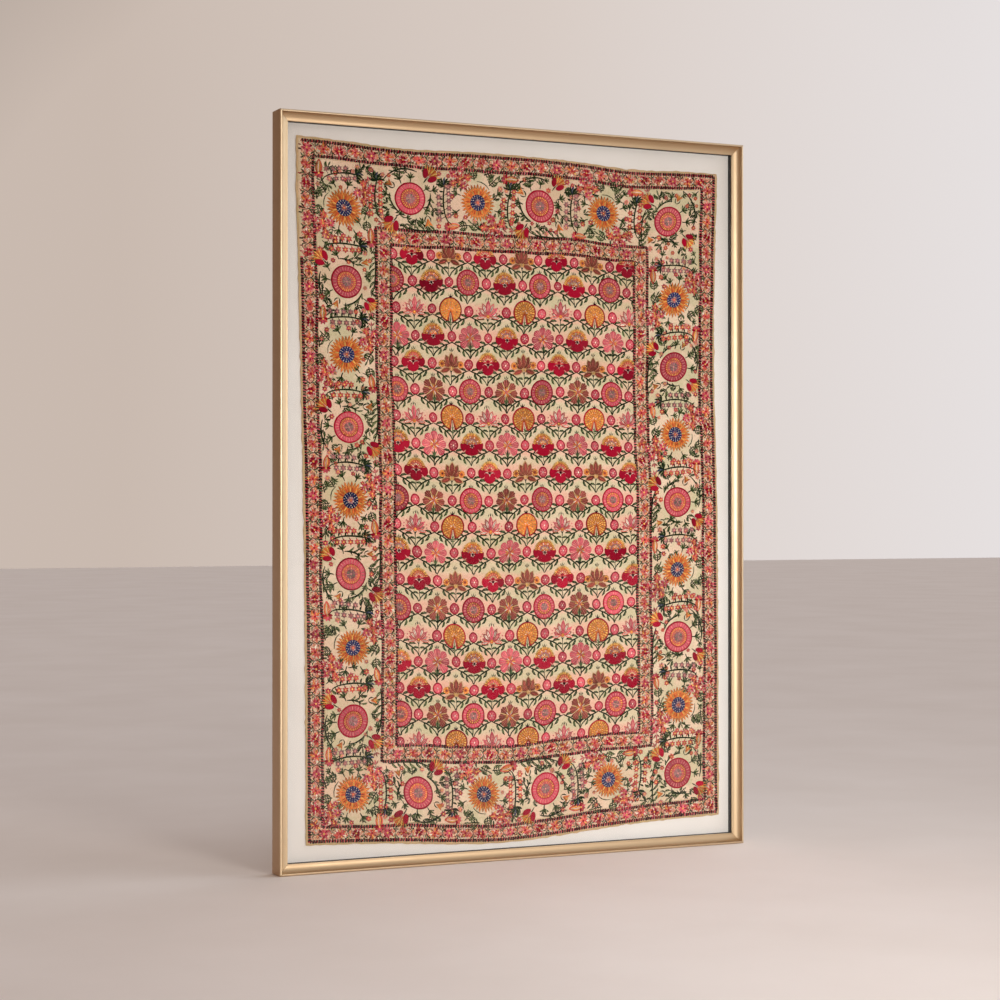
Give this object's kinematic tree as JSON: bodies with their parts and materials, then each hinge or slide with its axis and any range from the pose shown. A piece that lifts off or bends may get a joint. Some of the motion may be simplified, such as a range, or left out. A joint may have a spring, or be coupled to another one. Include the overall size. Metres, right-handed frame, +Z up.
{
  "type": "framed embroidered rug",
  "caption": "Flat floral embroidered cloth with an uneven outline, floated on a pale board behind glass in a thin scooped gilt moulding that hangs on a wall.",
  "frame": {"origin": "middle of the top rail's rear face, where the frame hangs on the wall", "axes": "+Z up, the picture faces -Y, +Y points into the wall, +X to the viewer's right"},
  "size_m": [0.7, 0.031, 1],
  "materials": {
    "moulding": "champagne gilt over wood, satin on the face and darker brown on the outer sides",
    "picture_glass": "clear, polished",
    "spacer": "matt black",
    "mount_board": "off-white, matt, fine grain",
    "embroidered_cloth": "cream woven ground worked all over in fine chain stitch, in pinks, crimson, orange, yellow, brown, green and navy",
    "backing": "plain brown board, matt"
  },
  "bodies": {
    "root": {"frame_top": "moulding", "frame_bottom": "moulding", "frame_left": "moulding", "frame_right": "moulding", "glazing": "picture_glass", "spacer_top": "spacer", "spacer_bottom": "spacer", "spacer_left": "spacer", "spacer_right": "spacer", "mount_board": "mount_board", "textile": "embroidered_cloth", "backing_board": "backing"}
  },
  "joints": []
}
